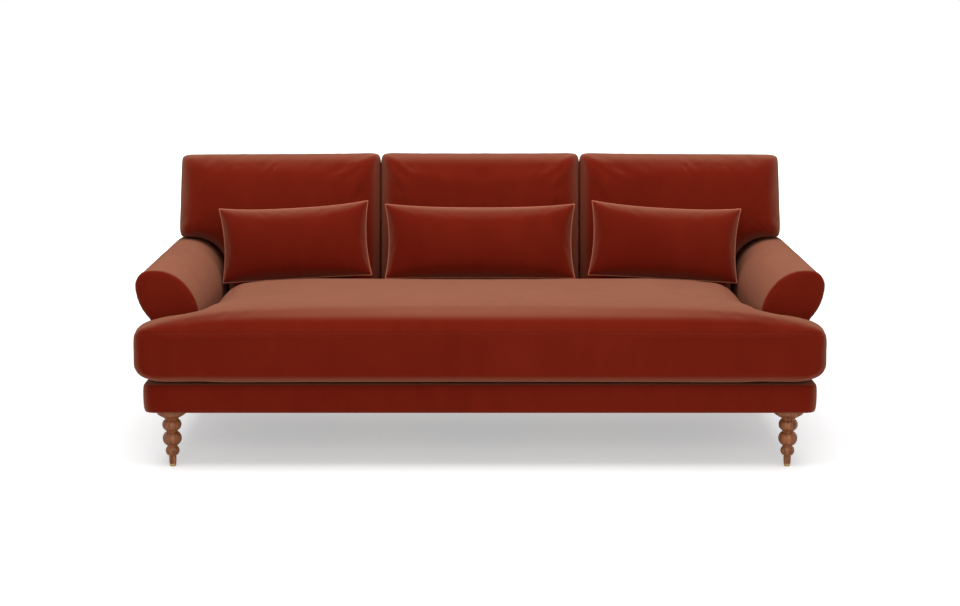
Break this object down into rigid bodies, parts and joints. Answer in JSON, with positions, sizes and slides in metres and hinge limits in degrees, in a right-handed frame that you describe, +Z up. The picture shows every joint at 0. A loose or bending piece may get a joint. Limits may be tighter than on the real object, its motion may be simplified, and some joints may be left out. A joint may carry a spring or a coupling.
{
  "type": "three-seat sofa",
  "caption": "Velvet sofa with rolled arms, a bench seat cushion that wraps the arm fronts, loose back cushions, lumbar pillows and turned wooden legs.",
  "frame": {"origin": "on the floor, in the middle of the sofa's width and depth", "axes": "+X along the sofa, to the right seen from the front; -Y out of its front; +Z up"},
  "size_m": [2.12, 1.0181, 0.8958],
  "materials": {
    "velvet": "matte",
    "velvet_welt": "matte",
    "leg_wood": "satin",
    "brass_tips": "satin",
    "zinc_steel": "satin",
    "frame_wood": "matte",
    "padding": "matte",
    "seat_foam": "matte",
    "fibre_fill": "matte",
    "webbing": "matte",
    "lining_cloth": "matte",
    "zip_tape": "matte",
    "zip_metal": "satin"
  },
  "bodies": {
    "frame": {"arm_cover_left": "velvet", "arm_cover_right": "velvet", "arm_face_left": "velvet", "arm_face_right": "velvet", "arm_frame_left": "frame_wood", "arm_frame_right": "frame_wood", "arm_padding_left": "padding", "arm_padding_right": "padding", "back_bolts": "zinc_steel", "back_bottom_rail": "frame_wood", "back_cover": "velvet", "back_padding": "padding", "back_post_left": "frame_wood", "back_post_right": "frame_wood", "back_top_rail": "frame_wood", "back_uprights": "frame_wood", "back_webbing": "webbing", "base_cover": "velvet", "base_padding": "padding", "corner_blocks": "frame_wood", "deck_cover": "lining_cloth", "deck_edge_felt": "padding", "deck_pad": "padding", "dust_cover": "lining_cloth", "frame_screws": "zinc_steel", "front_rail": "frame_wood", "hanger_bolts": "zinc_steel", "leg_front_left": "leg_wood", "leg_front_right": "leg_wood", "leg_plate_screws": "zinc_steel", "leg_plates": "zinc_steel", "leg_rear_left": "leg_wood", "leg_rear_right": "leg_wood", "leg_tips": "brass_tips", "outside_back_panel": "velvet", "rear_rail": "frame_wood", "seat_springs": "zinc_steel", "seat_stretchers": "frame_wood", "side_rail_left": "frame_wood", "side_rail_right": "frame_wood", "spring_clips": "zinc_steel"},
    "seat_cushion": {"seat_cushion_cover": "velvet", "seat_cushion_core": "seat_foam", "seat_zip": "zip_tape"},
    "zip_slider": {"seat_zip_slider": "zip_metal"},
    "back_cushion_left": {"back_cushion_cover_left": "velvet", "back_cushion_fill_left": "fibre_fill"},
    "pillow_left": {"pillow_cover_left": "velvet", "pillow_fill_left": "fibre_fill", "pillow_welt_left": "velvet_welt"},
    "back_cushion_centre": {"back_cushion_cover_centre": "velvet", "back_cushion_fill_centre": "fibre_fill"},
    "pillow_centre": {"pillow_cover_centre": "velvet", "pillow_fill_centre": "fibre_fill", "pillow_welt_centre": "velvet_welt"},
    "back_cushion_right": {"back_cushion_cover_right": "velvet", "back_cushion_fill_right": "fibre_fill"},
    "pillow_right": {"pillow_cover_right": "velvet", "pillow_fill_right": "fibre_fill", "pillow_welt_right": "velvet_welt"}
  },
  "joints": [
    {"name": "seat_cushion_lift", "type": "slide", "parent": "frame", "child": "seat_cushion", "axis": [0, 0, 1], "range_m": [0, 0.35]},
    {"name": "zip_slider_run", "type": "slide", "parent": "seat_cushion", "child": "zip_slider", "axis": [1, 0, 0], "range_m": [0, 1.18]},
    {"name": "back_cushion_left_lift", "type": "slide", "parent": "frame", "child": "back_cushion_left", "axis": [0, 0.2015, 0.9795], "range_m": [0, 0.4]},
    {"name": "pillow_left_lift", "type": "slide", "parent": "seat_cushion", "child": "pillow_left", "axis": [0, -0.5, 0.866], "range_m": [0, 0.3]},
    {"name": "back_cushion_centre_lift", "type": "slide", "parent": "frame", "child": "back_cushion_centre", "axis": [0, 0.2015, 0.9795], "range_m": [0, 0.4]},
    {"name": "pillow_centre_lift", "type": "slide", "parent": "seat_cushion", "child": "pillow_centre", "axis": [0, -0.5, 0.866], "range_m": [0, 0.3]},
    {"name": "back_cushion_right_lift", "type": "slide", "parent": "frame", "child": "back_cushion_right", "axis": [0, 0.2015, 0.9795], "range_m": [0, 0.4]},
    {"name": "pillow_right_lift", "type": "slide", "parent": "seat_cushion", "child": "pillow_right", "axis": [0, -0.5, 0.866], "range_m": [0, 0.3]}
  ]
}
